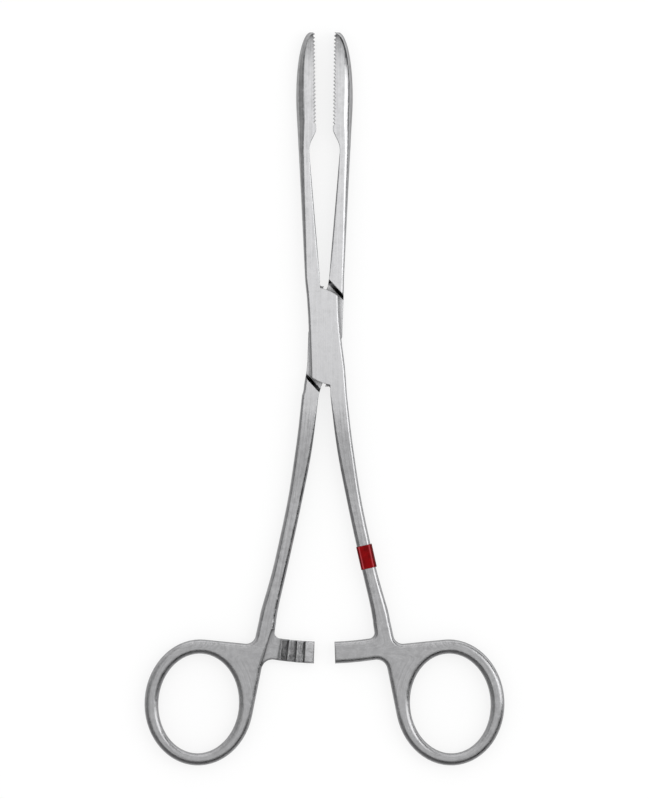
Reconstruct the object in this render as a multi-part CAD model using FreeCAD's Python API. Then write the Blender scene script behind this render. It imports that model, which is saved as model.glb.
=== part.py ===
import FreeCAD, Part
import math
import os

# Straight sponge forceps with a box lock, ring handles and a ratchet, in millimetres.
# The instrument lies on its back: +Z is its front and +Y points to the tips of the jaws.
# The origin is on the axis of the pivot, at the rear face of the box.
# Each arm is drawn with the jaws shut on the plane X = 0, then opened to the rest pose.
# A jaw and a handle are both drawn on the +X side. An arm crosses the plane at the lock,
# so it takes one of the two as drawn and the other turned over about the Y axis.

# Pose of the two arms
REST_OPENING_DEG = 4.0
FULL_OPENING_DEG = 60.0

# Box lock
BOX_THICKNESS = 6.3
LOCK_REACH = 16.0
LOCK_EDGE_RADIUS = 0.6
TONGUE_THICKNESS = 2.1
TONGUE_HALF_WIDTH = 4.8
TONGUE_LEFT_HALF_WIDTH = 4.4
TONGUE_FACE_CLEARANCE = 0.05
TONGUE_EDGE_CLEARANCE = 0.12
STOP_CLEARANCE = 0.06
CHEEK_HALF_WIDTH = 4.2
CHEEK_REACH = 13.2
CHEEK_CORNER_REACH = 11.1
CHEEK_CORNER_CUT = 0.5
CROTCH_REACH = 13.6
CROTCH_OFFSET = 0.3
CROTCH_RADIUS = 0.45
WEB_SLOPE_DEG = 21.0
SHOULDER_REACH = 10.6
SHOULDER_SLOPE_WIDTH = 0.8
SHOULDER_ANGLE_DEG = 45.0
SHOULDER_FILLET = 0.3

# Pivot pin, riveted into both cheeks and ground flush
PIN_RADIUS = 1.5
PIN_HEAD_RADIUS = 2.0
PIN_HEAD_DEPTH = 0.6
PIN_RUNNING_CLEARANCE = 0.04

# Jaw and upper shank
TIP_REACH = 82.5
NOSE_LENGTH = 20.5
GRIP_LENGTH = 25.5
GRIP_LAND = 1.2
GRIP_STEP_LENGTH = 4.1
GRIP_STEP_RADIUS = 2.5
WINDOW_TOP_RADIUS = 6.0
JAW_BACK = 5.44
JAW_THICKNESS = 5.9
TIP_WIDTH = 0.8
TIP_THICKNESS = 2.6
JAW_BACK_RADIUS = 2.3
JAW_FACE_RADIUS = 0.12
SHANK_ROOT_BACK = 4.72
SHANK_BACK = 5.12
SHANK_ROOT_INSIDE = 0.72
SHANK_TOP_INSIDE = 2.47
UPPER_SHANK_INNER_RADIUS = 0.35

# Serrations of the grip faces
SERRATION_PITCH = 1.02
SERRATION_DEPTH = 0.6
TIP_GAP = 0.1
GRIP_BOW = 0.55

# Lower shank
LOWER_ROOT_INSIDE = 1.05
LOWER_ROOT_WIDTH = 4.45
LOWER_SHANK_WIDTH = 3.85
LOWER_END_INSIDE = 10.42
LOWER_END_WIDTH = 4.68
LOWER_SHANK_THICKNESS = 4.5

# Finger ring and the yoke that joins it to the shank
HANDLE_THICKNESS = 4.4
HANDLE_EDGE_RADIUS = 1.0
RING_HOLE_EDGE_RADIUS = 1.05
RING_SPREAD = 30.6
RING_DROP = 14.9
RING_TILT_DEG = 2.0
RING_HOLE_WIDTH = 21.9
RING_HOLE_LENGTH = 27.1
RING_BAND_OUTER = 3.7
RING_BAND_INNER = 3.9
RING_BAND_TOP = 3.8
RING_BAND_BOTTOM = 3.2
YOKE_LENGTH = 4.9
YOKE_WEB_DROP = 6.3
YOKE_INNER_SLOPE = 0.11
YOKE_FILLET = 2.6
YOKE_INSET = 0.04

# Ratchet, an arm on each handle, half as thick as the handle
RATCHET_RADIUS = 85.7
RATCHET_WIDTH = 5.9
RATCHET_CROSSING = 0.2
RATCHET_PITCH = 2.3
RATCHET_TEETH = 4
RATCHET_TIP_LAND = 2.45
RATCHET_TIP_RISE = 0.75
RATCHET_CREST = 0.4
RATCHET_VALLEY = 0.5
RATCHET_FLANK_LEAN = 0.15
RATCHET_TOP_FILLET = 1.6
RATCHET_BOTTOM_FILLET = 3.0
RATCHET_STEP = 0.7
RATCHET_ROOT_SHARE = 0.85

# Marking tape on the box arm's lower shank
TAPE_WIDTH = 6.35
TAPE_THICKNESS = 0.18
TAPE_REACH = 60.1

# Values worked out from the sizes above
MID = BOX_THICKNESS / 2
FAR = 4 * LOCK_REACH
YOKE_REACH = RATCHET_RADIUS - RATCHET_WIDTH / 2 - YOKE_LENGTH
GRIP_ROOT = TIP_REACH - GRIP_LENGTH
WINDOW_TOP = GRIP_ROOT - GRIP_LAND - GRIP_STEP_LENGTH
SHANK_TOP = WINDOW_TOP - 0.35 * WINDOW_TOP_RADIUS
WIDEST = TIP_REACH - NOSE_LENGTH
Z_AXIS = FreeCAD.Vector(0, 0, 1)
ORIGIN = FreeCAD.Vector(0, 0, 0)


def vec(x, y, z=0.0):
    return FreeCAD.Vector(x, y, z)


def smooth(keys, at):
    """Value at a station of a curve through (station, value) keys that never overshoots them."""
    keys = sorted(keys)
    steps = [b[0] - a[0] for a, b in zip(keys, keys[1:])]
    rises = [(b[1] - a[1]) / step for a, b, step in zip(keys, keys[1:], steps)]
    slopes = [rises[0]]
    for before, after in zip(rises, rises[1:]):
        flat = before * after <= 0
        slopes.append(0.0 if flat else 2 * before * after / (before + after))
    slopes.append(rises[-1])
    at = min(max(at, keys[0][0]), keys[-1][0])
    i = max(k for k in range(len(steps)) if keys[k][0] <= at)
    t = (at - keys[i][0]) / steps[i]
    start = (1 + 2 * t) * (1 - t) ** 2 * keys[i][1] + t * (1 - t) ** 2 * steps[i] * slopes[i]
    end = t * t * (3 - 2 * t) * keys[i + 1][1] - t * t * (1 - t) * steps[i] * slopes[i + 1]
    return start + end


def spread(first, last, count):
    """Evenly spaced stations from first to last."""
    return [first + (last - first) * i / (count - 1) for i in range(count)]


def section(y, left, right, thickness, left_radius, right_radius, grow=0.0):
    """Closed rounded rectangle across an arm at the station y."""
    left -= grow
    right += grow
    low = MID - thickness / 2 - grow
    high = MID + thickness / 2 + grow
    room = 0.47 * min(high - low, right - left)
    left_radius = min(left_radius + grow, room)
    right_radius = min(right_radius + grow, 0.47 * (high - low), 0.9 * (right - left) - left_radius)
    corners = (
        (right, low, right_radius, 1, 1),
        (right, high, right_radius, 1, -1),
        (left, high, left_radius, -1, -1),
        (left, low, left_radius, -1, 1),
    )
    edges = []
    previous = vec(left + left_radius, y, low)
    for x, z, radius, side, up in corners:
        centre = (x - side * radius, z + up * radius)
        diagonal = radius * math.sqrt(0.5)
        middle = vec(centre[0] + side * diagonal, y, centre[1] - up * diagonal)
        across = vec(centre[0], y, z)
        along = vec(x, y, centre[1])
        start, end = (across, along) if side * up > 0 else (along, across)
        edges.append(Part.LineSegment(previous, start).toShape())
        edges.append(Part.Arc(start, middle, end).toShape())
        previous = end
    return Part.Wire(edges)


def loft(sections):
    return Part.makeLoft(sections, True, False)


def prism(points, low, high):
    """Upright prism over a polygon of (x, y) points."""
    corners = [vec(x, y, low) for x, y in points]
    wire = Part.makePolygon(corners + corners[:1])
    return Part.Face(wire).extrude(vec(0, 0, high - low))


def turned_about_pivot(shape, degrees):
    turned = shape.copy()
    turned.rotate(ORIGIN, Z_AXIS, degrees)
    return turned


def turned_over(shape):
    """The shape turned half round about the Y axis: left for right, front for rear."""
    turned = shape.copy()
    turned.rotate(vec(0, 0, MID), vec(0, 1, 0), 180)
    return turned


# Upper shank and jaw

def nose_share(y):
    """1 at the widest point of the jaw, falling along a quarter ellipse towards 0 at the tip."""
    along = (y - WIDEST) / NOSE_LENGTH
    return math.sqrt(max(0.0, 1 - max(0.0, along) ** 2))


def jaw_back(y):
    """Distance of the back of the jaw and upper shank from the closing plane."""
    if y > WIDEST:
        return TIP_WIDTH + (JAW_BACK - TIP_WIDTH) * nose_share(y)
    middle = LOCK_REACH + 0.63 * (WIDEST - LOCK_REACH)
    return smooth([(LOCK_REACH, SHANK_ROOT_BACK), (middle, SHANK_BACK), (WIDEST, JAW_BACK)], y)


def shank_inside(y):
    """Straight inner edge of the upper shank, from the lock to the top of the window."""
    rise = (SHANK_TOP_INSIDE - SHANK_ROOT_INSIDE) / (WINDOW_TOP - LOCK_REACH)
    return SHANK_ROOT_INSIDE + rise * (y - LOCK_REACH)


def grip_line(y):
    """Middle of the serrations: the jaws are bowed, so the tips meet first."""
    return TIP_GAP / 2 + GRIP_BOW * (TIP_REACH - y) / GRIP_LENGTH


def jaw_thickness(y):
    if y > WIDEST:
        return TIP_THICKNESS + (JAW_THICKNESS - TIP_THICKNESS) * nose_share(y)
    flat = LOCK_REACH + 0.1 * (WIDEST - LOCK_REACH)
    return smooth([(LOCK_REACH, BOX_THICKNESS), (flat, BOX_THICKNESS), (WIDEST, JAW_THICKNESS)], y)


def jaw_back_radius(y):
    return smooth([
        (LOCK_REACH, LOCK_EDGE_RADIUS),
        (LOCK_REACH + 0.4 * (WINDOW_TOP - LOCK_REACH), 1.5 * LOCK_EDGE_RADIUS),
        (WINDOW_TOP, 0.65 * JAW_BACK_RADIUS),
        (WIDEST, JAW_BACK_RADIUS),
        (TIP_REACH, 0.5 * JAW_BACK_RADIUS),
    ], y)


def upper_shank():
    """Shank from the lock to just below the rounded top of the window."""
    sections = []
    for y in spread(LOCK_REACH, SHANK_TOP, 9):
        inner_radius = smooth([
            (LOCK_REACH, JAW_FACE_RADIUS),
            (LOCK_REACH + 0.3 * (SHANK_TOP - LOCK_REACH), UPPER_SHANK_INNER_RADIUS),
            (LOCK_REACH + 0.7 * (SHANK_TOP - LOCK_REACH), UPPER_SHANK_INNER_RADIUS),
            (SHANK_TOP, JAW_FACE_RADIUS),
        ], y)
        outline = shank_inside(y), jaw_back(y), jaw_thickness(y)
        sections.append(section(y, *outline, inner_radius, jaw_back_radius(y)))
    return loft(sections)


def grip_blank():
    """Body of the jaw, its inner side still past the teeth."""
    stations = spread(SHANK_TOP, WIDEST, 4)
    for turn in (14, 27, 39, 50, 60, 69, 77, 84):
        stations.append(WIDEST + NOSE_LENGTH * math.sin(math.radians(turn)))
    inside = TIP_GAP / 2 - SERRATION_DEPTH
    return loft([
        section(y, inside, jaw_back(y), jaw_thickness(y), JAW_FACE_RADIUS, jaw_back_radius(y))
        for y in stations
    ])


def grip_cutter(phase):
    """Takes away the top of the window and the gaps between the teeth. The phase shifts the teeth."""
    half = SERRATION_DEPTH / 2
    teeth = int(GRIP_LENGTH / SERRATION_PITCH) + 1
    beyond = -SERRATION_DEPTH - 1
    crest = grip_line(GRIP_ROOT) - half
    step_top = (crest, GRIP_ROOT - GRIP_LAND)
    window_top = (SHANK_TOP_INSIDE, WINDOW_TOP)
    outline = [(beyond, SHANK_TOP), (shank_inside(SHANK_TOP), SHANK_TOP), window_top, step_top]
    for tooth in range(teeth + 1):
        crest_y = GRIP_ROOT + (phase + tooth) * SERRATION_PITCH
        root_y = crest_y + SERRATION_PITCH / 2
        outline.append((grip_line(crest_y) - half, crest_y))
        outline.append((grip_line(root_y) + half, root_y))
    outline.append((beyond, outline[-1][1]))
    cutter = prism(outline, -1, BOX_THICKNESS + 1)
    cutter = cutter.makeFillet(WINDOW_TOP_RADIUS, [edge_at(cutter, *window_top)])
    return cutter.makeFillet(GRIP_STEP_RADIUS, [edge_at(cutter, *step_top)])


def jaw(phase):
    """Upper shank and jaw on the +X side, with its serrations."""
    return upper_shank().fuse(grip_blank().cut(grip_cutter(phase)))


# Lower shank

def lower_station(share):
    return LOCK_REACH + share * (YOKE_REACH - LOCK_REACH)


def handle_inside(reach):
    """Inner edge of the lower shank at a distance below the pivot."""
    rise = LOWER_END_INSIDE - LOWER_ROOT_INSIDE
    keys = [(0, 0), (0.22, 0.125), (0.5, 0.41), (0.75, 0.71), (0.93, 0.94), (1, 1)]
    return smooth([(lower_station(s), LOWER_ROOT_INSIDE + rise * v) for s, v in keys], reach)


def handle_width(reach):
    quarter_width = (LOWER_SHANK_WIDTH + 5 * LOWER_ROOT_WIDTH) / 6
    keys = [(0, LOWER_ROOT_WIDTH), (0.25, quarter_width), (0.5, LOWER_SHANK_WIDTH),
            (0.75, LOWER_SHANK_WIDTH), (1, LOWER_END_WIDTH)]
    return smooth([(lower_station(s), v) for s, v in keys], reach)


def handle_section(reach, grow=0.0):
    thickness = smooth([
        (lower_station(0), BOX_THICKNESS),
        (lower_station(0.07), BOX_THICKNESS),
        (lower_station(0.5), LOWER_SHANK_THICKNESS),
        (lower_station(1), HANDLE_THICKNESS),
    ], reach)
    outer_radius = smooth([
        (lower_station(0), LOCK_EDGE_RADIUS),
        (lower_station(1), HANDLE_EDGE_RADIUS),
    ], reach)
    inner_radius = smooth([
        (lower_station(0), JAW_FACE_RADIUS),
        (lower_station(0.3), 0.7 * HANDLE_EDGE_RADIUS),
        (lower_station(1), HANDLE_EDGE_RADIUS),
    ], reach)
    inside = handle_inside(reach)
    outside = inside + handle_width(reach)
    return section(-reach, inside, outside, thickness, inner_radius, outer_radius, grow)


def lower_shank():
    """Shank that ends a hair inside the outline of the yoke, so the two meet in a clean step."""
    sections = [handle_section(lower_station(share)) for share in spread(0, 1, 12)[:-1]]
    return loft(sections + [handle_section(YOKE_REACH, -YOKE_INSET)])


# Finger ring, yoke and ratchet arm

class Oval:
    """Ellipse that stands on end, tilted towards the closing plane."""

    def __init__(self, x, y, width, length):
        tilt = math.radians(RING_TILT_DEG)
        self.centre = vec(x, y)
        self.up = vec(-math.sin(tilt), math.cos(tilt))
        self.inward = vec(-math.cos(tilt), -math.sin(tilt))
        self.half_length = length / 2
        self.half_width = width / 2
        self.curve = Part.Ellipse(
            self.centre + self.up * self.half_length,
            self.centre + self.inward * self.half_width,
            self.centre,
        )

    def tangent_angle(self, point, side):
        """Angle from the top, turning inward, where a line from the point touches the oval."""
        away = point - self.centre
        u = away.dot(self.up) / self.half_length
        v = away.dot(self.inward) / self.half_width
        return math.atan2(v, u) + side * math.acos(1 / math.hypot(u, v))

    def at(self, angle):
        return (self.centre + self.up * (self.half_length * math.cos(angle))
                + self.inward * (self.half_width * math.sin(angle)))


def ring_hole():
    return Oval(RING_SPREAD, -(RATCHET_RADIUS + RING_DROP), RING_HOLE_WIDTH, RING_HOLE_LENGTH)


def ring_outside():
    x = RING_SPREAD + (RING_BAND_OUTER - RING_BAND_INNER) / 2
    y = -(RATCHET_RADIUS + RING_DROP) + (RING_BAND_TOP - RING_BAND_BOTTOM) / 2
    width = RING_HOLE_WIDTH + RING_BAND_OUTER + RING_BAND_INNER
    length = RING_HOLE_LENGTH + RING_BAND_TOP + RING_BAND_BOTTOM
    return Oval(x, y, width, length)


def edge_at(shape, x, y):
    """The upright edge of a prism that stands nearest to (x, y)."""
    foot = vec(x, y)
    upright = []
    for edge in shape.Edges:
        box = edge.BoundBox
        if box.XLength + box.YLength < 1e-4 and box.ZLength > 0.5 * HANDLE_THICKNESS:
            beside = vec(box.XMin, box.YMin).distanceToPoint(foot)
            upright.append((beside, len(upright), edge))
    return min(upright)[2]


def rounded_rim(plate, radius, x, y):
    """Rounds a plate's front and rear rims, as far as they run smoothly on from (x, y)."""
    for level in (MID - HANDLE_THICKNESS / 2, MID + HANDLE_THICKNESS / 2):
        rims = [e for e in plate.Edges
                if abs(e.BoundBox.ZMin - level) < 0.01 and abs(e.BoundBox.ZMax - level) < 0.01]
        point = Part.Vertex(vec(x, y, level))
        plate = plate.makeFillet(radius, [min(rims, key=lambda e: e.distToShape(point)[0])])
    return plate


def ratchet_angle(along):
    """Turn about the pivot, in degrees, of a point this far along the ratchet from its tip."""
    return math.degrees((along - RATCHET_CROSSING) / RATCHET_RADIUS)


def ratchet_blank():
    """Ring sector about the pivot, from the tip into the yoke."""
    inner = RATCHET_RADIUS - RATCHET_WIDTH / 2
    outer = RATCHET_RADIUS + RATCHET_WIDTH / 2
    length = RATCHET_CROSSING + handle_inside(YOKE_REACH) + RATCHET_ROOT_SHARE * LOWER_END_WIDTH
    angles = [math.radians(ratchet_angle(s)) for s in (0, length / 2, length)]
    low = [vec(inner * math.sin(a), -inner * math.cos(a), 0) for a in angles]
    high = [vec(outer * math.sin(a), -outer * math.cos(a), 0) for a in angles]
    wire = Part.Wire([
        Part.Arc(*low).toShape(),
        Part.LineSegment(low[-1], high[-1]).toShape(),
        Part.Arc(*reversed(high)).toShape(),
        Part.LineSegment(high[0], low[0]).toShape(),
    ])
    return Part.Face(wire)


def yoke_blank():
    """Flat outline from the end of the shank round the finger ring."""
    ring = ring_outside()
    inside = handle_inside(YOKE_REACH)
    outside = inside + handle_width(YOKE_REACH)
    before = YOKE_REACH - YOKE_LENGTH / 10
    slope = (outside - handle_inside(before) - handle_width(before)) / (YOKE_REACH - before)
    start = vec(inside, -YOKE_REACH)
    shoulder = vec(outside, -YOKE_REACH)
    armpit = vec(outside + slope * YOKE_WEB_DROP, -YOKE_REACH - YOKE_WEB_DROP)
    # Two corners that the ratchet arm covers
    upper_drop = YOKE_LENGTH + 0.2 * RATCHET_WIDTH
    lower_drop = YOKE_LENGTH + 0.6 * RATCHET_WIDTH
    hidden_high = vec(inside + YOKE_INNER_SLOPE * upper_drop, -YOKE_REACH - upper_drop)
    hidden_low = vec(inside + 3 * YOKE_INNER_SLOPE * lower_drop, -YOKE_REACH - lower_drop)
    top = ring.tangent_angle(armpit, -1)
    side = ring.tangent_angle(hidden_low, 1)
    around = Part.ArcOfEllipse(ring.curve, side, top + 2 * math.pi).toShape()
    wire = Part.Wire([
        Part.LineSegment(start, shoulder).toShape(),
        Part.LineSegment(shoulder, armpit).toShape(),
        Part.LineSegment(armpit, ring.at(top)).toShape(),
        around,
        Part.LineSegment(ring.at(side), hidden_low).toShape(),
        Part.LineSegment(hidden_low, hidden_high).toShape(),
        Part.LineSegment(hidden_high, start).toShape(),
    ])
    return Part.Face(wire), armpit


def handle_plate():
    """Yoke, ring and ratchet blank as one plate with rounded rims."""
    outline, armpit = yoke_blank()
    hole = Part.Face(Part.Wire([ring_hole().curve.toShape()]))
    flat = outline.fuse(ratchet_blank()).removeSplitter().cut(hole)
    plate = flat.Faces[0].extrude(vec(0, 0, HANDLE_THICKNESS))
    plate.translate(vec(0, 0, MID - HANDLE_THICKNESS / 2))
    inner = RATCHET_RADIUS - RATCHET_WIDTH / 2
    outer = RATCHET_RADIUS + RATCHET_WIDTH / 2
    inside = handle_inside(YOKE_REACH)
    plate = plate.makeFillet(YOKE_FILLET, [edge_at(plate, armpit.x, armpit.y)])
    plate = plate.makeFillet(RATCHET_TOP_FILLET, [edge_at(plate, inside, -inner)])
    plate = plate.makeFillet(RATCHET_BOTTOM_FILLET, [edge_at(plate, inside + RATCHET_WIDTH / 2, -outer)])
    plate = rounded_rim(plate, HANDLE_EDGE_RADIUS, inside / 2, -inner)
    plate = rounded_rim(plate, HANDLE_EDGE_RADIUS, inside / 2, -outer)
    hole_top = ring_hole().at(0)
    return rounded_rim(plate, RING_HOLE_EDGE_RADIUS, hole_top.x, hole_top.y)


def ratchet_cutters():
    """Takes the rear half off the ratchet arm and leaves its sawteeth facing the rear."""
    inner = RATCHET_RADIUS - RATCHET_WIDTH / 2
    outer = RATCHET_RADIUS + RATCHET_WIDTH / 2
    inside = handle_inside(YOKE_REACH)
    crest = MID - RATCHET_CREST
    valley = MID + RATCHET_VALLEY
    step = [
        (inside + RATCHET_STEP + 0.1 * YOKE_LENGTH, -(inner - 0.6 * YOKE_LENGTH)),
        (inside + RATCHET_STEP + 0.3 * (YOKE_LENGTH + RATCHET_WIDTH), -(outer + 0.2 * YOKE_LENGTH)),
        (-RATCHET_TIP_LAND - RATCHET_WIDTH, -(outer + RATCHET_WIDTH)),
        (-RATCHET_TIP_LAND - RATCHET_WIDTH, -(inner - RATCHET_WIDTH)),
    ]
    cutters = [prism(step, -1, crest)]
    last = RATCHET_TIP_LAND + (RATCHET_TEETH - 1) * RATCHET_PITCH
    beyond = prism([(0, -2 * outer), (FAR, -2 * outer), (FAR, 0), (0, 0)], -1, valley)
    cutters.append(prism(step, -1, valley).common(turned_about_pivot(beyond, ratchet_angle(last))))
    for tooth in range(RATCHET_TEETH - 1):
        profile = [(0, crest - 1), (RATCHET_FLANK_LEAN, valley), (RATCHET_PITCH, crest),
                   (RATCHET_PITCH, crest - 1)]
        place = ratchet_angle(RATCHET_TIP_LAND + tooth * RATCHET_PITCH)
        cutters.append(turned_about_pivot(radial_prism(profile, inner - 1, outer + 1), place))
    far = 1.5 * RATCHET_TIP_LAND
    top = crest + 1.5 * RATCHET_TIP_RISE
    ramp = [(-far, crest - 1), (-far, top), (0, crest), (0, crest - 1)]
    tip_cutter = radial_prism(ramp, inner - 1, outer + 1)
    return cutters + [turned_about_pivot(tip_cutter, ratchet_angle(RATCHET_TIP_LAND))]


def radial_prism(profile, near, far):
    """Prism below the pivot, from the distance near to far, over a profile of (x, z) points."""
    corners = [vec(x, -far, z) for x, z in profile]
    wire = Part.makePolygon(corners + corners[:1])
    return Part.Face(wire).extrude(vec(0, far - near, 0))


def handle():
    """Lower shank, ring and ratchet arm on the +X side, the ratchet in its front half."""
    plate = handle_plate()
    for cutter in ratchet_cutters():
        plate = plate.cut(cutter)
    return lower_shank().fuse(plate)


# Box lock

def web_direction():
    slope = math.radians(WEB_SLOPE_DEG)
    return math.sin(slope), math.cos(slope)


def lock_barrel(left_keys, right_keys):
    """Full thickness blank of the lock between the ends of the two shanks."""
    sections = []
    for y in spread(LOCK_REACH, -LOCK_REACH, 13):
        sides = smooth(left_keys, y), smooth(right_keys, y)
        sections.append(section(y, *sides, BOX_THICKNESS, LOCK_EDGE_RADIUS, LOCK_EDGE_RADIUS))
    return loft(sections)


def half_turned(points):
    return [(-x, -y) for x, y in points]


def web_wedge(tongue_half_width):
    """Upper web between the cheeks: the tongue's edge closes on one side and stops on the other."""
    dx, dy = web_direction()
    stop = math.radians(FULL_OPENING_DEG)
    reach = tongue_half_width + STOP_CLEARANCE
    web_distance = -dy * CROTCH_OFFSET + dx * CROTCH_REACH
    # Corner where the web's face (-dy, dx) and the stop's face (-cos, sin) meet
    det = -dy * math.sin(stop) + dx * math.cos(stop)
    corner_x = (web_distance * math.sin(stop) - dx * reach) / det
    corner_y = (-dy * reach + math.cos(stop) * web_distance) / det
    return [
        (corner_x, corner_y),
        (corner_x - FAR * math.sin(stop), corner_y - FAR * math.cos(stop)),
        (-2 * FAR, 2 * FAR),
        (corner_x + 2 * FAR * dx, corner_y + 2 * FAR * dy),
    ]


def cheek_cut(inside):
    """What lies above the cheeks, beside the root of the jaw, drawn for a jaw on the -X side."""
    corner_low = CHEEK_CORNER_REACH - 2.2 * CHEEK_CORNER_CUT
    start = vec(-inside, LOCK_REACH, -1)
    root = vec(-inside, CHEEK_REACH, -1)
    middle = vec(0.33 * CHEEK_HALF_WIDTH, 0.37 * CHEEK_CORNER_REACH + 0.63 * CHEEK_REACH, -1)
    end = vec(CHEEK_HALF_WIDTH - CHEEK_CORNER_CUT, CHEEK_CORNER_REACH, -1)
    side = vec(CHEEK_HALF_WIDTH + 0.8 * CHEEK_CORNER_CUT, corner_low, -1)
    out_low = vec(FAR, corner_low, -1)
    out_high = vec(FAR, LOCK_REACH + 1, -1)
    over = vec(-inside, LOCK_REACH + 1, -1)
    wire = Part.Wire([
        Part.LineSegment(start, root).toShape(),
        Part.Arc(root, middle, end).toShape(),
        Part.LineSegment(end, side).toShape(),
        Part.LineSegment(side, out_low).toShape(),
        Part.LineSegment(out_low, out_high).toShape(),
        Part.LineSegment(out_high, over).toShape(),
        Part.LineSegment(over, start).toShape(),
    ])
    return Part.Face(wire).extrude(vec(0, 0, BOX_THICKNESS + 2))


def crotch_cut(inside):
    """What lies above the web, beside the root of the jaw, drawn for a jaw on the -X side."""
    outline = [(-inside, CROTCH_REACH), (FAR, CROTCH_REACH), (FAR, LOCK_REACH + 1), (-inside, LOCK_REACH + 1)]
    cutter = prism(outline, -1, BOX_THICKNESS + 1)
    return cutter.makeFillet(CROTCH_RADIUS, [edge_at(cutter, -inside, CROTCH_REACH)])


def box_body():
    """Box with its two cheeks, drawn with the jaw on -X and the handle on +X."""
    jaw_flare = SHANK_ROOT_BACK - CHEEK_HALF_WIDTH
    handle_flare = LOWER_ROOT_INSIDE + LOWER_ROOT_WIDTH - CHEEK_HALF_WIDTH
    left = [(s * LOCK_REACH, -CHEEK_HALF_WIDTH - v * jaw_flare)
            for s, v in ((1, 1), (0.56, 0.2), (0.2, 0), (-1, 0))]
    right = [(s * LOCK_REACH, CHEEK_HALF_WIDTH + v * handle_flare)
             for s, v in ((1, 0), (0.35, 0), (0, 0.2), (-0.6, 0.83), (-1, 1))]
    body = lock_barrel(left, right)
    half = TONGUE_THICKNESS / 2 + TONGUE_FACE_CLEARANCE
    middle = Part.makeBox(2 * FAR, 2 * FAR, 2 * half, vec(-FAR, -FAR, MID - half))
    for inside, turn in ((SHANK_ROOT_INSIDE, 0), (LOWER_ROOT_INSIDE, 180)):
        above_cheeks = cheek_cut(inside).cut(middle)
        body = body.cut(turned_about_pivot(above_cheeks, turn))
        body = body.cut(turned_about_pivot(crotch_cut(inside), turn))
    slot = middle.cut(prism(web_wedge(TONGUE_LEFT_HALF_WIDTH), 0, BOX_THICKNESS))
    slot = slot.cut(prism(half_turned(web_wedge(TONGUE_HALF_WIDTH)), 0, BOX_THICKNESS))
    return body.cut(slot)


def tongue_side_cut(inside):
    """What lies beside the tongue's upper edge, drawn for a jaw on the +X side."""
    dx, dy = web_direction()
    edge_x = CROTCH_OFFSET + TONGUE_EDGE_CLEARANCE * dy
    edge_y = CROTCH_REACH - TONGUE_EDGE_CLEARANCE * dx
    low_x = edge_x - 1.6 * LOCK_REACH * dx
    low_y = edge_y - 1.6 * LOCK_REACH * dy
    outline = [(inside, LOCK_REACH + 1), (inside, LOCK_REACH), (edge_x, edge_y), (low_x, low_y),
               (-FAR, low_y), (-FAR, LOCK_REACH + 1)]
    return prism(outline, -1, BOX_THICKNESS + 1)


def tongue_relief():
    """Strip milled from the front of the lock down to the tongue, its ends sloping to the shoulders."""
    floor = MID + TONGUE_THICKNESS / 2
    rise = BOX_THICKNESS - floor
    reach = SHOULDER_REACH
    spill = SHOULDER_SLOPE_WIDTH * (rise + 1) / rise
    above = floor + rise + 1
    profile = [(-reach, floor), (reach, floor), (reach + spill, above), (-reach - spill, above)]
    corners = [vec(x, -FAR, z) for x, z in profile]
    strip = Part.Face(Part.makePolygon(corners + corners[:1])).extrude(vec(0, 2 * FAR, 0))
    long_edges = [e for e in strip.Edges
                  if abs(e.BoundBox.ZMax - floor) < 1e-6 and e.BoundBox.YLength > FAR]
    strip = strip.makeFillet(SHOULDER_FILLET, long_edges)
    return turned_about_pivot(strip, SHOULDER_ANGLE_DEG)


def tongue_body():
    """Tongue and its shoulders, drawn with the jaw on +X and the handle on -X."""
    flare = LOWER_ROOT_INSIDE + LOWER_ROOT_WIDTH - TONGUE_LEFT_HALF_WIDTH
    right = [(LOCK_REACH, SHANK_ROOT_BACK), (0.65 * LOCK_REACH, TONGUE_HALF_WIDTH),
             (-LOCK_REACH, TONGUE_HALF_WIDTH)]
    left = [(s * LOCK_REACH, -TONGUE_LEFT_HALF_WIDTH - v * flare)
            for s, v in ((1, 0), (-0.45, 0), (-0.72, 0.35), (-1, 1))]
    body = lock_barrel(left, right)
    body = body.cut(tongue_side_cut(SHANK_ROOT_INSIDE))
    body = body.cut(turned_about_pivot(tongue_side_cut(LOWER_ROOT_INSIDE), 180))
    front = tongue_relief()
    across = math.radians(SHOULDER_ANGLE_DEG)
    rear = front.copy()
    rear.rotate(vec(0, 0, MID), vec(math.cos(across), math.sin(across)), 180)
    body = body.cut([front, rear])
    bore = Part.makeCylinder(PIN_RADIUS + PIN_RUNNING_CLEARANCE, BOX_THICKNESS)
    return body.cut(bore)


def pivot_pin():
    """Rivet whose ends are swelled into the cheeks' countersinks and ground flush."""
    profile = [(0, 0), (PIN_HEAD_RADIUS, 0), (PIN_RADIUS, PIN_HEAD_DEPTH),
               (PIN_RADIUS, BOX_THICKNESS - PIN_HEAD_DEPTH), (PIN_HEAD_RADIUS, BOX_THICKNESS),
               (0, BOX_THICKNESS)]
    corners = [vec(x, 0, z) for x, z in profile]
    face = Part.Face(Part.makePolygon(corners + corners[:1]))
    return face.revolve(ORIGIN, Z_AXIS, 360)


# Marking tape

def tape_slab():
    """Space between the two edges of the tape, square to the shank."""
    reach = TAPE_REACH
    centre = handle_inside(reach) + handle_width(reach) / 2
    ahead = handle_inside(reach + 1) + handle_width(reach + 1) / 2
    lean = math.degrees(math.atan(ahead - centre))
    corner = vec(-TAPE_WIDTH, -TAPE_WIDTH / 2, -MID)
    slab = Part.makeBox(2 * TAPE_WIDTH, TAPE_WIDTH, 2 * BOX_THICKNESS, corner)
    slab.rotate(ORIGIN, Z_AXIS, lean)
    slab.translate(vec(centre, -reach, 0))
    return slab, centre


def tape_layer(grow):
    reaches = spread(TAPE_REACH - TAPE_WIDTH, TAPE_REACH + TAPE_WIDTH, 7)
    return loft([handle_section(reach, grow) for reach in reaches])


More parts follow.
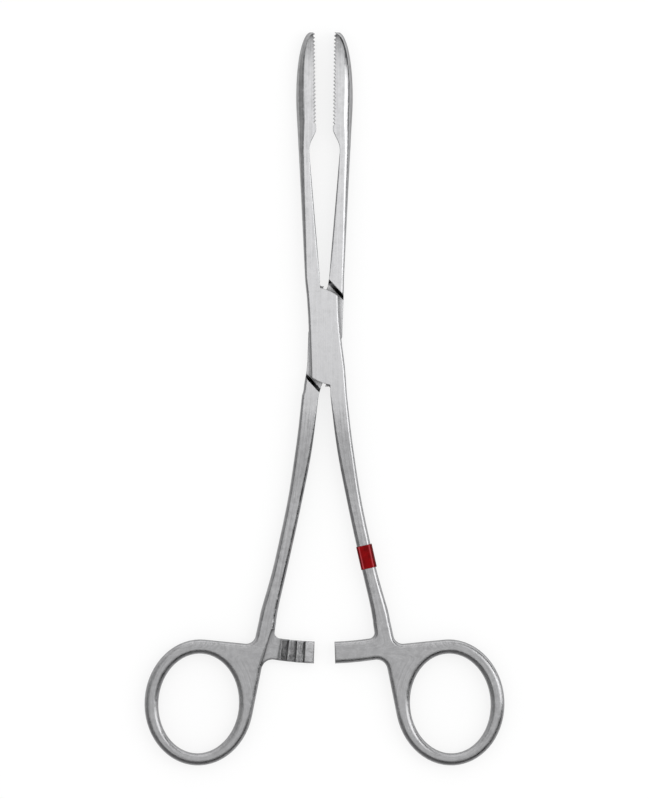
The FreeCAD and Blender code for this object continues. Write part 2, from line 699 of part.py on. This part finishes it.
def marking_tape(arm):
    """One turn of tape and a short lap that ends on the rear of the shank."""
    slab, centre = tape_slab()
    corner = vec(centre, -TAPE_REACH - 2 * TAPE_WIDTH, 0)
    lap_side = Part.makeBox(TAPE_WIDTH, 4 * TAPE_WIDTH, MID, corner)
    wrap = tape_layer(TAPE_THICKNESS).common(slab)
    lap = tape_layer(2 * TAPE_THICKNESS).common(slab).common(lap_side)
    return wrap.fuse(lap).cut(arm)


def single(shape):
    """The one solid that a construction has come to."""
    if len(shape.Solids) != 1:
        raise ValueError("one solid expected, not " + str(len(shape.Solids)))
    return shape.Solids[0]


# The pieces

pin = pivot_pin()
handle_blank = handle()

box_arm = turned_over(jaw(0.5)).fuse([box_body().cut(pin), handle_blank])
tongue_arm = jaw(0.0).fuse([tongue_body(), turned_over(handle_blank)])
tape = marking_tape(handle_blank)

pieces = {
    "box_arm": turned_about_pivot(single(box_arm), REST_OPENING_DEG / 2),
    "tongue_arm": turned_about_pivot(single(tongue_arm), -REST_OPENING_DEG / 2),
    "pivot_pin": single(pin),
    "marking_tape": turned_about_pivot(single(tape), REST_OPENING_DEG / 2),
}

os.makedirs("parts", exist_ok=True)
for name, shape in pieces.items():
    shape.exportStep("parts/" + name + ".step")
    print(name, "valid", shape.isValid(), "volume", round(shape.Volume, 2), "faces", len(shape.Faces))
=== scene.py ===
import logging
import math
from dataclasses import dataclass, field
from enum import Enum

import bpy
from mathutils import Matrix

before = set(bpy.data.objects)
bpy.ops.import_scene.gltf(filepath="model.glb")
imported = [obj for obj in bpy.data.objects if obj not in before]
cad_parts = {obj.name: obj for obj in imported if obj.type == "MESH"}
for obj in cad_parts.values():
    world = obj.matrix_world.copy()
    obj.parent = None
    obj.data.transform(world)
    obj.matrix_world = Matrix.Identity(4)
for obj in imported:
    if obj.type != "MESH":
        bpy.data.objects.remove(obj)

log = logging.getLogger("sponge_forceps")

NOISE_MEAN = 0.5
Color = tuple[float, float, float]
Point = tuple[float, float, float]
Span = tuple[float, float]


class Ray(Enum):
    """Kinds of ray that the studio treats apart, by the outputs of the Light Path node."""

    CAMERA = "Is Camera Ray"
    GLOSSY = "Is Glossy Ray"
    TRANSMISSION = "Is Transmission Ray"
    DIFFUSE = "Is Diffuse Ray"


class NodeSheet:
    """Lays nodes in a node tree from left to right and links them."""

    column_width = 190.0

    def __init__(self, tree: bpy.types.NodeTree) -> None:
        """Start on an emptied tree.

        Args:
            tree: The node tree to fill.
        """
        self.tree = tree
        self.tree.nodes.clear()
        self.column = 0

    def add(self, kind: str, **settings: object) -> bpy.types.Node:
        """Add a node.

        Args:
            kind: Blender's name for the node type.
            settings: Attributes set on the node.

        Returns:
            The new node.
        """
        node = self.tree.nodes.new(kind)
        node.location = (self.column * self.column_width, 0.0)
        self.column += 1
        for name, value in settings.items():
            setattr(node, name, value)
        return node

    def feed(self, socket: bpy.types.NodeSocket, value: object) -> None:
        """Link an output to a socket, or set the socket's own value.

        Args:
            socket: The input to feed.
            value: An output socket, or a plain value.
        """
        if isinstance(value, bpy.types.NodeSocket):
            self.tree.links.new(value, socket)
        else:
            socket.default_value = value

    def math(self, operation: str, *values: object) -> bpy.types.NodeSocket:
        """Add a Math node.

        Args:
            operation: The node's operation.
            values: Its inputs, plain numbers or outputs.

        Returns:
            The result.
        """
        node = self.add("ShaderNodeMath", operation=operation)
        for socket, value in zip(node.inputs, values):
            self.feed(socket, value)
        return node.outputs["Value"]

    def product(self, first: object, *others: object) -> bpy.types.NodeSocket:
        """Multiply numbers.

        Args:
            first: The first factor.
            others: The other factors.

        Returns:
            Their product.
        """
        for other in others:
            first = self.math("MULTIPLY", first, other)
        return first

    def total(self, first: object, *others: object) -> bpy.types.NodeSocket:
        """Add numbers up.

        Args:
            first: The first number.
            others: The other numbers.

        Returns:
            Their sum.
        """
        for other in others:
            first = self.math("ADD", first, other)
        return first

    def between(self, value: object, low: float, high: float,
                to_low: float, to_high: float) -> bpy.types.NodeSocket:
        """Carry a value smoothly from one range to another.

        Args:
            value: What is carried over.
            low: Start of its range.
            high: End of its range.
            to_low: Result at the start.
            to_high: Result at the end.

        Returns:
            The result, held at the ends.
        """
        node = self.add("ShaderNodeMapRange", interpolation_type="SMOOTHSTEP")
        for name, number in (("Value", value), ("From Min", low), ("From Max", high),
                             ("To Min", to_low), ("To Max", to_high)):
            self.feed(node.inputs[name], number)
        return node.outputs["Result"]

    def noise(self, place: object, scale: float, detail: float,
              rough: float = 0.5) -> bpy.types.NodeSocket:
        """Add a noise texture.

        Args:
            place: The coordinates.
            scale: Waves per metre.
            detail: Octaves.
            rough: Weight of the finer octaves.

        Returns:
            The noise, from 0 to 1.
        """
        node = self.add("ShaderNodeTexNoise")
        self.feed(node.inputs["Vector"], place)
        self.feed(node.inputs["Scale"], scale)
        self.feed(node.inputs["Detail"], detail)
        self.feed(node.inputs["Roughness"], rough)
        return node.outputs["Fac"]

    def place(self, x: object, y: object, z: object) -> bpy.types.NodeSocket:
        """Join three numbers into coordinates.

        Args:
            x: First number.
            y: Second number.
            z: Third number.

        Returns:
            The coordinates.
        """
        node = self.add("ShaderNodeCombineXYZ")
        for socket, value in zip(node.inputs, (x, y, z)):
            self.feed(socket, value)
        return node.outputs["Vector"]

    def apart(self, vector: object) -> tuple[bpy.types.NodeSocket, ...]:
        """Take coordinates apart.

        Args:
            vector: The coordinates.

        Returns:
            The three numbers.
        """
        node = self.add("ShaderNodeSeparateXYZ")
        self.feed(node.inputs["Vector"], vector)
        return node.outputs["X"], node.outputs["Y"], node.outputs["Z"]

    def scaled(self, vector: object, scale: object) -> bpy.types.NodeSocket:
        """Scale a vector or a colour.

        Args:
            vector: What is scaled.
            scale: The factor.

        Returns:
            The scaled vector or colour.
        """
        node = self.add("ShaderNodeVectorMath", operation="SCALE")
        self.feed(node.inputs["Vector"], vector)
        self.feed(node.inputs["Scale"], scale)
        return node.outputs["Vector"]

    def object_place(self) -> bpy.types.NodeSocket:
        """Give the place on the piece, in metres."""
        return self.add("ShaderNodeTexCoord").outputs["Object"]

    def rays(self, *kinds: Ray) -> bpy.types.NodeSocket:
        """Tell rays of some kinds from the others.

        Args:
            kinds: The kinds of ray.

        Returns:
            1 for those rays, 0 for the others.
        """
        paths = self.add("ShaderNodeLightPath")
        found = paths.outputs[kinds[0].value]
        for kind in kinds[1:]:
            found = self.math("MAXIMUM", found, paths.outputs[kind.value])
        return found


def new_group(name: str, inputs: dict[str, float],
              outputs: tuple[str, ...]) -> tuple[NodeSheet, dict, dict]:
    """Start a shader node group.

    Args:
        name: The group's name.
        inputs: Names and default values of its number inputs.
        outputs: Names of its outputs.

    Returns:
        The sheet, what the inputs give by name, and what the outputs take by name.
    """
    tree = bpy.data.node_groups.new(name, "ShaderNodeTree")
    sheet = NodeSheet(tree)
    for title, value in inputs.items():
        socket = tree.interface.new_socket(title, in_out="INPUT", socket_type="NodeSocketFloat")
        socket.default_value = value
    for title in outputs:
        tree.interface.new_socket(title, in_out="OUTPUT", socket_type="NodeSocketFloat")
    entry = sheet.add("NodeGroupInput")
    leave = sheet.add("NodeGroupOutput")
    given = {title: entry.outputs[title] for title in inputs}
    results = {title: leave.inputs[title] for title in outputs}
    return sheet, given, results


def new_material(name: str) -> tuple[bpy.types.Material, NodeSheet]:
    """Start a material.

    Args:
        name: The material's name.

    Returns:
        The material and its emptied sheet.
    """
    material = bpy.data.materials.new(name)
    material.use_nodes = True
    return material, NodeSheet(material.node_tree)


@dataclass
class ArmFlow:
    """Node group that follows an arm, so that ground lines run along it and round its ring.

    Attributes:
        lock_reach: Where the handles start to spread, below the pivot.
        handle_length: From there to the yoke.
        handle_spread: How far a handle has spread there.
        handle_bend: Power of its curve.
        ring_x: Middle of the rings, to either side.
        ring_y: Middle of the rings, along the instrument.
        ring_slenderness: Width of a ring over its length.
        ring_radius: Half the length of a ring's hole, about.
        ring_start: Where the lines start to turn round the ring, along Y.
        ring_full: Where they have turned.
        name: The group's name.
    """

    lock_reach: float = 0.016
    handle_length: float = 0.0615
    handle_spread: float = 0.0094
    handle_bend: float = 1.35
    ring_x: float = 0.0341
    ring_y: float = -0.0995
    ring_slenderness: float = 0.81
    ring_radius: float = 0.0115
    ring_start: float = -0.083
    ring_full: float = -0.088
    name: str = "arm flow"

    def build(self) -> bpy.types.NodeTree:
        """Build the group.

        Returns:
            The group: Across and Along are places in metres across and along the ground lines.
        """
        sheet, _, results = new_group(self.name, {}, ("Across", "Along"))
        x, y, _ = sheet.apart(sheet.object_place())
        aside = sheet.math("ABSOLUTE", x)
        below = sheet.math("SUBTRACT", sheet.product(y, -1.0), self.lock_reach)
        share = sheet.math("DIVIDE", sheet.math("MAXIMUM", below, 0.0), self.handle_length)
        bend = sheet.product(sheet.math("POWER", share, self.handle_bend), self.handle_spread)
        across_shank = sheet.math("SUBTRACT", aside, bend)
        dx = sheet.math("DIVIDE", sheet.math("SUBTRACT", aside, self.ring_x), self.ring_slenderness)
        dy = sheet.math("SUBTRACT", y, self.ring_y)
        far = sheet.math("SQRT", sheet.total(sheet.product(dx, dx), sheet.product(dy, dy)))
        turn = sheet.product(sheet.math("ARCTAN2", dy, dx), self.ring_radius)
        ringed = sheet.between(y, self.ring_full, self.ring_start, 1.0, 0.0)
        straight = sheet.math("SUBTRACT", 1.0, ringed)
        sheet.feed(results["Across"], sheet.total(sheet.product(far, ringed),
                                                  sheet.product(across_shank, straight)))
        sheet.feed(results["Along"], sheet.total(sheet.product(turn, ringed),
                                                 sheet.product(y, straight)))
        return sheet.tree


@dataclass
class GroundLines:
    """Node group for the fine lines that a belt leaves, and faint clouds in the satin.

    Attributes:
        line_scale: Fine lines per metre.
        line_stretch: Share of their width scale that holds along them.
        coarse_scale: Coarse lines per metre.
        coarse_share: Share of the coarse lines in the relief.
        cloud_scale: Clouds per metre.
        tone_share: Strength in the tone over that in the roughness.
        name: The group's name.
    """

    line_scale: float = 9000.0
    line_stretch: float = 0.018
    coarse_scale: float = 2200.0
    coarse_share: float = 0.6
    cloud_scale: float = 560.0
    tone_share: float = 0.5
    name: str = "ground lines"

    def build(self) -> bpy.types.NodeTree:
        """Build the group.

        Returns:
            The group: Height for a bump, Roughness and Tone to multiply into the finish.
        """
        inputs = {"Across": 0.0, "Along": 0.0, "Lines": 0.3, "Clouds": 0.1}
        sheet, given, results = new_group(self.name, inputs, ("Height", "Roughness", "Tone"))
        here = sheet.object_place()
        depth = sheet.apart(here)[2]
        drawn = sheet.product(given["Along"], self.line_stretch)
        place = sheet.place(given["Across"], drawn, depth)
        fine = sheet.noise(place, self.line_scale, detail=3.0, rough=0.6)
        coarse = sheet.noise(place, self.coarse_scale, detail=2.0)
        cloud = sheet.noise(here, self.cloud_scale, detail=5.0, rough=0.62)
        lines = sheet.total(sheet.product(fine, 1.0 - self.coarse_share),
                            sheet.product(coarse, self.coarse_share))
        sheet.feed(results["Height"], lines)
        striped = sheet.product(sheet.math("SUBTRACT", lines, NOISE_MEAN), given["Lines"])
        clouded = sheet.product(sheet.math("SUBTRACT", cloud, NOISE_MEAN), given["Clouds"])
        uneven = sheet.total(striped, clouded)
        sheet.feed(results["Roughness"], sheet.total(1.0, uneven))
        sheet.feed(results["Tone"], sheet.total(1.0, sheet.product(uneven, self.tone_share)))
        return sheet.tree


@dataclass(frozen=True)
class SatinSteel:
    """Stainless steel ground to a satin finish. Lengths are in metres.

    Attributes:
        name: The material's name.
        color: Colour of the metal.
        roughness: Mean roughness.
        lines: Strength of the ground lines in roughness and tone.
        clouds: Strength of the uneven patches.
        relief: Height of the ground lines.
        broken_edge: Radius of the edges that look sharp.
        ring_edge: Radius of the edges of the finger rings, which are rounded for the hand.
        ring_reach: Where the rings' edges start and where they have their full radius, along Y.
        flush: How far round the pivot the rivet and the cheek are ground as one.
        nook: How far the painted shade reaches out of a nook.
        nook_open: Open share of a nook that gets the full painted shade, and of one that gets none.
        deepest_painted_shade: Share of the tone that is left in the narrowest nooks, as painted
            shade.
    """

    name: str
    color: Color = (0.62, 0.62, 0.63)
    roughness: float = 0.19
    lines: float = 1.8
    clouds: float = 1.35
    relief: float = 0.0000015
    broken_edge: float = 0.00026
    ring_edge: float = 0.00085
    ring_reach: Span = (-0.080, -0.088)
    flush: float = 0.003
    nook: float = 0.0020
    nook_open: Span = (0.35, 0.75)
    deepest_painted_shade: float = 0.12

    def edges(self, sheet: NodeSheet) -> bpy.types.NodeSocket:
        """Break the sharp edges, except where the rivet is flush with the cheek.

        Args:
            sheet: Where the nodes go.

        Returns:
            The normal with the edges rounded.
        """
        x, y, _ = sheet.apart(sheet.object_place())
        from_pivot = sheet.add("ShaderNodeVectorMath", operation="LENGTH")
        sheet.feed(from_pivot.inputs["Vector"], sheet.place(x, y, 0.0))
        beyond = sheet.math("GREATER_THAN", from_pivot.outputs["Value"], self.flush)
        start, full = self.ring_reach
        radius = sheet.between(y, full, start, self.ring_edge, self.broken_edge)
        edge = sheet.add("ShaderNodeBevel", samples=4)
        sheet.feed(edge.inputs["Radius"], sheet.product(beyond, radius))
        return edge.outputs["Normal"]

    def painted_nook_shade(self, sheet: NodeSheet) -> bpy.types.NodeSocket:
        """Paint shade into the nooks, darker where a nook is less open.

        Args:
            sheet: Where the nodes go.

        Returns:
            The share of the tone that is left.
        """
        # Painted shade: ambient occlusion tells how open each spot is.
        open_share = sheet.add("ShaderNodeAmbientOcclusion", samples=6)
        sheet.feed(open_share.inputs["Distance"], self.nook)
        full, unshaded = self.nook_open
        return sheet.between(open_share.outputs["AO"], full, unshaded, self.deepest_painted_shade, 1.0)

    def make(self, flow: bpy.types.NodeTree, lines: bpy.types.NodeTree) -> bpy.types.Material:
        """Make the material.

        Args:
            flow: The group that follows the arm.
            lines: The group of the ground lines.

        Returns:
            The material.
        """
        material, sheet = new_material(self.name)
        along = sheet.add("ShaderNodeGroup", node_tree=flow)
        ground = sheet.add("ShaderNodeGroup", node_tree=lines)
        for name, value in (("Across", along.outputs["Across"]), ("Along", along.outputs["Along"]),
                            ("Lines", self.lines), ("Clouds", self.clouds)):
            sheet.feed(ground.inputs[name], value)
        bump = sheet.add("ShaderNodeBump")
        sheet.feed(bump.inputs["Height"], ground.outputs["Height"])
        sheet.feed(bump.inputs["Distance"], self.relief)
        sheet.feed(bump.inputs["Strength"], 1.0)
        sheet.feed(bump.inputs["Normal"], self.edges(sheet))
        # Painted shade: the tone is darkened in narrow nooks, as ambient occlusion finds them.
        tone = sheet.product(ground.outputs["Tone"], self.painted_nook_shade(sheet))
        roughness = sheet.product(ground.outputs["Roughness"], self.roughness)
        shader = sheet.add("ShaderNodeBsdfPrincipled")
        sheet.feed(shader.inputs["Base Color"], sheet.scaled(self.color, tone))
        sheet.feed(shader.inputs["Metallic"], 1.0)
        sheet.feed(shader.inputs["Roughness"], roughness)
        sheet.feed(shader.inputs["Normal"], bump.outputs["Normal"])
        leave = sheet.add("ShaderNodeOutputMaterial")
        sheet.feed(leave.inputs["Surface"], shader.outputs["BSDF"])
        return material


@dataclass(frozen=True)
class TapeVinyl:
    """Thin vinyl tape, stretched over the edges of what it is wound on. Lengths are in metres.

    Attributes:
        name: The material's name.
        color: Colour of the tape.
        roughness: Least roughness of its face.
        roughness_spread: How much rougher it is where it is dusty.
        ripple: Height of the ripples.
        ripple_scale: Ripples per metre.
        dust_scale: Dust specks for each ripple.
        dust_span: Part of the dust's noise that shows.
        dust_tone: Tone of the cleanest and the dustiest spots.
        wave_span: Part of the ripples' noise that shows.
        wave_tone: Tone of the troughs and the crests.
        gloss: Level of the reflection off its face.
        painted_side_shade: Share of the tone that is left on its sides, as painted shade.
        side_turn: Upward share of the normal where the side starts, and where the face does.
        fold: Radius of its folds over the edges.
        fold_turn: Upward share of the normal where a fold starts and is full, from the side.
        face_turn: The same where the fold fades into the face.
        painted_fold_highlight: Painted highlight that the vinyl's colour gains along its folds.
    """

    name: str
    color: Color = (0.205, 0.0015, 0.0025)
    roughness: float = 0.26
    roughness_spread: float = 0.1
    ripple: float = 0.00006
    ripple_scale: float = 420.0
    dust_scale: float = 8.0
    dust_span: Span = (0.3, 0.7)
    dust_tone: Span = (0.88, 1.12)
    wave_span: Span = (0.35, 0.65)
    wave_tone: Span = (0.78, 1.18)
    gloss: float = 0.05
    painted_side_shade: float = 0.6
    side_turn: Span = (0.80, 0.92)
    fold: float = 0.0003
    fold_turn: Span = (0.82, 0.90)
    face_turn: Span = (0.95, 0.995)
    painted_fold_highlight: Color = (0.24, 0.055, 0.065)

    def make(self) -> bpy.types.Material:
        """Make the material.

        Returns:
            The material.
        """
        material, sheet = new_material(self.name)
        here = sheet.object_place()
        wave = sheet.noise(here, self.ripple_scale, detail=2.0)
        dust = sheet.noise(here, self.ripple_scale * self.dust_scale, detail=3.0)
        folded = sheet.add("ShaderNodeBevel", samples=4)
        sheet.feed(folded.inputs["Radius"], self.fold)
        flat = sheet.math("ABSOLUTE", sheet.apart(folded.outputs["Normal"])[2])
        bump = sheet.add("ShaderNodeBump")
        sheet.feed(bump.inputs["Height"], wave)
        sheet.feed(bump.inputs["Distance"], self.ripple)
        sheet.feed(bump.inputs["Strength"], 1.0)
        sheet.feed(bump.inputs["Normal"], folded.outputs["Normal"])
        # Painted shade: the tape's sides, where its normal leans away from up, are darkened.
        tone = sheet.product(sheet.between(dust, *self.dust_span, *self.dust_tone),
                             sheet.between(wave, *self.wave_span, *self.wave_tone),
                             sheet.between(flat, *self.side_turn, self.painted_side_shade, 1.0))
        # Painted highlight: a pale band is added to the colour along the folds over the edges.
        highlight_band = sheet.product(sheet.between(flat, *self.fold_turn, 0.0, 1.0),
                               sheet.between(flat, *self.face_turn, 1.0, 0.0))
        highlighted = sheet.add("ShaderNodeVectorMath", operation="ADD")
        sheet.feed(highlighted.inputs[0], sheet.scaled(self.color, tone))
        sheet.feed(highlighted.inputs[1], sheet.scaled(self.painted_fold_highlight, highlight_band))
        roughest = self.roughness + self.roughness_spread
        roughness = sheet.between(dust, *self.dust_span, self.roughness, roughest)
        shader = sheet.add("ShaderNodeBsdfPrincipled")
        sheet.feed(shader.inputs["Base Color"], highlighted.outputs["Vector"])
        sheet.feed(shader.inputs["Roughness"], roughness)
        sheet.feed(shader.inputs["Specular IOR Level"], self.gloss)
        sheet.feed(shader.inputs["Normal"], bump.outputs["Normal"])
        leave = sheet.add("ShaderNodeOutputMaterial")
        sheet.feed(leave.inputs["Surface"], shader.outputs["BSDF"])
        return material


def give_finish(node: str, material: bpy.types.Material) -> None:
    """Give a CAD node its finish.

    Args:
        node: The node's name.
        material: The finish.
    """
    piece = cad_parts[node]
    for slot in piece.material_slots:
        slot.material = material
    log.info("%s: %s, %d faces", node, material.name, len(piece.data.polygons))


@dataclass
class Forceps:
    """The two arms with their lock, and the pin through it.

    Attributes:
        arm_nodes: The CAD nodes of the arms.
        pin_node: The CAD node of the pin.
        arm_steel: Finish of the arms.
        pin_steel: Finish of the pin, a shade lighter.
        flow: The group that follows an arm.
        lines: The group of the ground lines.
    """

    arm_nodes: tuple[str, ...] = ("box_arm", "tongue_arm")
    pin_node: str = "pivot_pin"
    arm_steel: SatinSteel = SatinSteel("satin steel")
    pin_steel: SatinSteel = SatinSteel("pin steel", color=(0.622, 0.622, 0.633))
    flow: ArmFlow = field(default_factory=ArmFlow)
    lines: GroundLines = field(default_factory=GroundLines)

    def dress(self) -> None:
        """Give the arms and the pin their steel."""
        flow = self.flow.build()
        lines = self.lines.build()
        steel = self.arm_steel.make(flow, lines)
        for node in self.arm_nodes:
            give_finish(node, steel)
        give_finish(self.pin_node, self.pin_steel.make(flow, lines))


@dataclass
class MarkingTape:
    """The band of tape on the right lower shank.

    Attributes:
        node: The CAD node of the tape.
        vinyl: Its finish.
    """

    node: str = "marking_tape"
    vinyl: TapeVinyl = TapeVinyl("red tape")

    def dress(self) -> None:
        """Give the tape its vinyl."""
        give_finish(self.node, self.vinyl.make())


@dataclass(frozen=True)
class Softbox:
    """A large soft lamp.

    Attributes:
        name: The lamp's name.
        place: Its middle.
        aim: What it faces.
        size: Width and height.
        power: Power in watts.
    """

    name: str
    place: Point
    aim: Point
    size: Span
    power: float

    def build(self) -> bpy.types.Object:
        """Build the lamp.

        Returns:
            The lamp.
        """
        data = bpy.data.lights.new(self.name, "AREA")
        data.shape = "RECTANGLE"
        data.size, data.size_y = self.size
        data.energy = self.power
        lamp = bpy.data.objects.new(self.name, data)
        bpy.context.scene.collection.objects.link(lamp)
        lamp.location = self.place
        dx, dy, dz = (a - b for a, b in zip(self.aim, self.place))
        level = math.hypot(dx, dy)
        lamp.rotation_euler = (math.atan2(level, -dz), 0.0, math.atan2(-dx, dy) if level else 0.0)
        lamp.visible_camera = False
        log.info("lamp %s: %.2f W", self.name, self.power)
        return lamp


@dataclass
class Studio:
    """Pale floor, soft lamps, the sky of a white studio, and the camera.

    Paint and paper are lit evenly from all round, at the level at which a colour renders about
    as written. Polished metal mirrors a white ceiling, dark flags round it and pale walls.
    Lengths are in metres. Floor and sky strengths are shares of white.

    Attributes:
        frame_height: Height of the picture at the instrument.
        aim: Middle of the picture.
        camera_height: From the instrument up to the camera.
        sensor: Height of the sensor in millimetres.
        floor_size: Side of the floor.
        floor_drop: Gap under the instrument.
        floor_color: Colour of the floor's paper.
        floor_glow: What the floor shows to the camera even in shadow.
        floor_shadow: Share of the light on the floor that is added to that.
        floor_mirrored: What the floor shows to mirrored rays even in shadow.
        floor_mirrored_shadow: Share of the light on the floor that is added to that.
        sky_soft: The even light on paint and paper.
        sky_top: The ceiling.
        ceiling_edge: Upward share of a direction where the ceiling starts and is full.
        sky_flag: The flags round the ceiling.
        sky_flag_left: What the flags gain to the left.
        sky_side: The walls, on average.
        sky_side_right: What they gain to the right.
        sky_side_up: What they gain towards the tips.
        sky_side_least: The darkest wall.
        wall_edge: Upward share of a direction where the walls start and are full.
        flag_right_reach: How much lower the right flag hangs.
        backdrop: What is seen past the floor.
        lamps: The lamps.
    """

    frame_height: float = 0.2165
    aim: Point = (0.0, -0.0171, 0.0031)
    camera_height: float = 2.6
    sensor: float = 24.0
    floor_size: float = 3.0
    floor_drop: float = 0.00002
    floor_color: Color = (0.86, 0.86, 0.86)
    floor_glow: float = 0.79
    floor_shadow: float = 0.26
    floor_mirrored: float = 0.25
    floor_mirrored_shadow: float = 0.32
    sky_soft: float = 0.85
    sky_top: float = 0.62
    ceiling_edge: Span = (0.965, 0.988)
    sky_flag: float = 0.02
    sky_flag_left: float = 0.32
    sky_side: float = 0.48
    sky_side_right: float = 0.22
    sky_side_up: float = 0.40
    sky_side_least: float = 0.16
    wall_edge: Span = (0.86, 0.70)
    flag_right_reach: float = 0.50
    backdrop: float = 1.0
    lamps: tuple[Softbox, ...] = (
        Softbox("overhead", place=(0.05, 0.155, 0.50), aim=(0.05, 0.155, 0.0),
                size=(0.50, 0.36), power=0.29),
        Softbox("right strip", place=(0.66, 0.05, 1.00), aim=(0.0, 0.0, 0.0),
                size=(0.40, 0.90), power=1.8),
    )

    def paper(self) -> bpy.types.Material:
        """Make the floor's paper, white where it is seen, which keeps the shadow.

        Returns:
            The material.
        """
        material, sheet = new_material("floor paper")
        seen = sheet.rays(Ray.CAMERA, Ray.TRANSMISSION)
        mirrored = sheet.rays(Ray.GLOSSY)
        dimmed = sheet.math("MAXIMUM", sheet.product(seen, 1.0 - self.floor_shadow),
                            sheet.product(mirrored, 1.0 - self.floor_mirrored_shadow))
        lit = sheet.math("SUBTRACT", 1.0, dimmed)
        paper = sheet.add("ShaderNodeBsdfDiffuse")
        sheet.feed(paper.inputs["Color"], sheet.scaled(self.floor_color, lit))
        glow = sheet.add("ShaderNodeEmission")
        shown = sheet.math("MAXIMUM", sheet.product(seen, self.floor_glow),
                           sheet.product(mirrored, self.floor_mirrored))
        sheet.feed(glow.inputs["Strength"], shown)
        both = sheet.add("ShaderNodeAddShader")
        sheet.feed(both.inputs[0], paper.outputs["BSDF"])
        sheet.feed(both.inputs[1], glow.outputs["Emission"])
        leave = sheet.add("ShaderNodeOutputMaterial")
        sheet.feed(leave.inputs["Surface"], both.outputs["Shader"])
        return material

    def build_floor(self) -> None:
        """Lay the floor that the instrument lies on."""
        half = self.floor_size / 2
        mesh = bpy.data.meshes.new("floor")
        rim = [(-half, -half, 0.0), (half, -half, 0.0), (half, half, 0.0), (-half, half, 0.0)]
        mesh.from_pydata(rim, [], [(0, 1, 2, 3)])
        mesh.materials.append(self.paper())
        floor = bpy.data.objects.new("floor", mesh)
        floor.location.z = -self.floor_drop
        bpy.context.scene.collection.objects.link(floor)

    def mirrored_sky(self, sheet: NodeSheet) -> bpy.types.NodeSocket:
        """Set out what the steel mirrors: ceiling, flags and walls.

        Args:
            sheet: Where the nodes go.

        Returns:
            The strength in each direction.
        """
        x, y, z = sheet.apart(sheet.add("ShaderNodeTexCoord").outputs["Generated"])
        leftward = sheet.math("MAXIMUM", sheet.product(x, -1.0), 0.0)
        rightward = sheet.math("MAXIMUM", x, 0.0)
        flag = sheet.total(sheet.product(leftward, self.sky_flag_left), self.sky_flag)
        wall = sheet.total(sheet.product(x, self.sky_side_right),
                           sheet.product(y, self.sky_side_up), self.sky_side)
        wall = sheet.math("MAXIMUM", wall, self.sky_side_least)
        ceiling_share = sheet.between(z, *self.ceiling_edge, 0.0, 1.0)
        reach = sheet.total(z, sheet.product(rightward, self.flag_right_reach))
        wall_share = sheet.between(reach, *self.wall_edge, 0.0, 1.0)
        flag_share = sheet.math("SUBTRACT", sheet.math("SUBTRACT", 1.0, ceiling_share), wall_share)
        return sheet.total(sheet.product(ceiling_share, self.sky_top),
                           sheet.product(wall_share, wall), sheet.product(flag_share, flag))

    def build_sky(self) -> None:
        """Light the studio softly from above, with a white backdrop where it is seen."""
        world = bpy.data.worlds.new("studio")
        bpy.context.scene.world = world
        world.use_nodes = True
        sheet = NodeSheet(world.node_tree)
        mirrored = self.mirrored_sky(sheet)
        soft = sheet.rays(Ray.DIFFUSE)
        light = sheet.total(sheet.product(mirrored, sheet.math("SUBTRACT", 1.0, soft)),
                            sheet.product(soft, self.sky_soft))
        seen = sheet.rays(Ray.CAMERA, Ray.TRANSMISSION)
        unseen = sheet.math("SUBTRACT", 1.0, seen)
        sky = sheet.add("ShaderNodeBackground")
        sheet.feed(sky.inputs["Color"], (1.0, 1.0, 1.0, 1.0))
        sheet.feed(sky.inputs["Strength"], sheet.total(sheet.product(light, unseen),
                                                       sheet.product(seen, self.backdrop)))
        leave = sheet.add("ShaderNodeOutputWorld")
        sheet.feed(leave.inputs["Surface"], sky.outputs["Background"])

    def build_camera(self) -> None:
        """Hang the camera straight above the instrument, on a long lens."""
        data = bpy.data.cameras.new("camera")
        data.sensor_fit = "VERTICAL"
        data.sensor_height = self.sensor
        data.lens = self.sensor * self.camera_height / self.frame_height
        data.clip_end = 2.0 * self.camera_height
        camera = bpy.data.objects.new("camera", data)
        bpy.context.scene.collection.objects.link(camera)
        camera.location = (self.aim[0], self.aim[1], self.aim[2] + self.camera_height)
        bpy.context.scene.camera = camera
        log.info("camera: %.0f mm lens at %.2f m", data.lens, self.camera_height)

    def build(self) -> None:
        """Build floor, sky, lamps and camera."""
        bpy.context.scene.view_settings.view_transform = "Standard"
        self.build_floor()
        self.build_sky()
        for lamp in self.lamps:
            lamp.build()
        self.build_camera()


def main() -> None:
    """Dress the instrument and set up the studio."""
    logging.basicConfig(level=logging.INFO)
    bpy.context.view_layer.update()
    Forceps().dress()
    MarkingTape().dress()
    Studio().build()


if __name__ == "__main__":
    main()
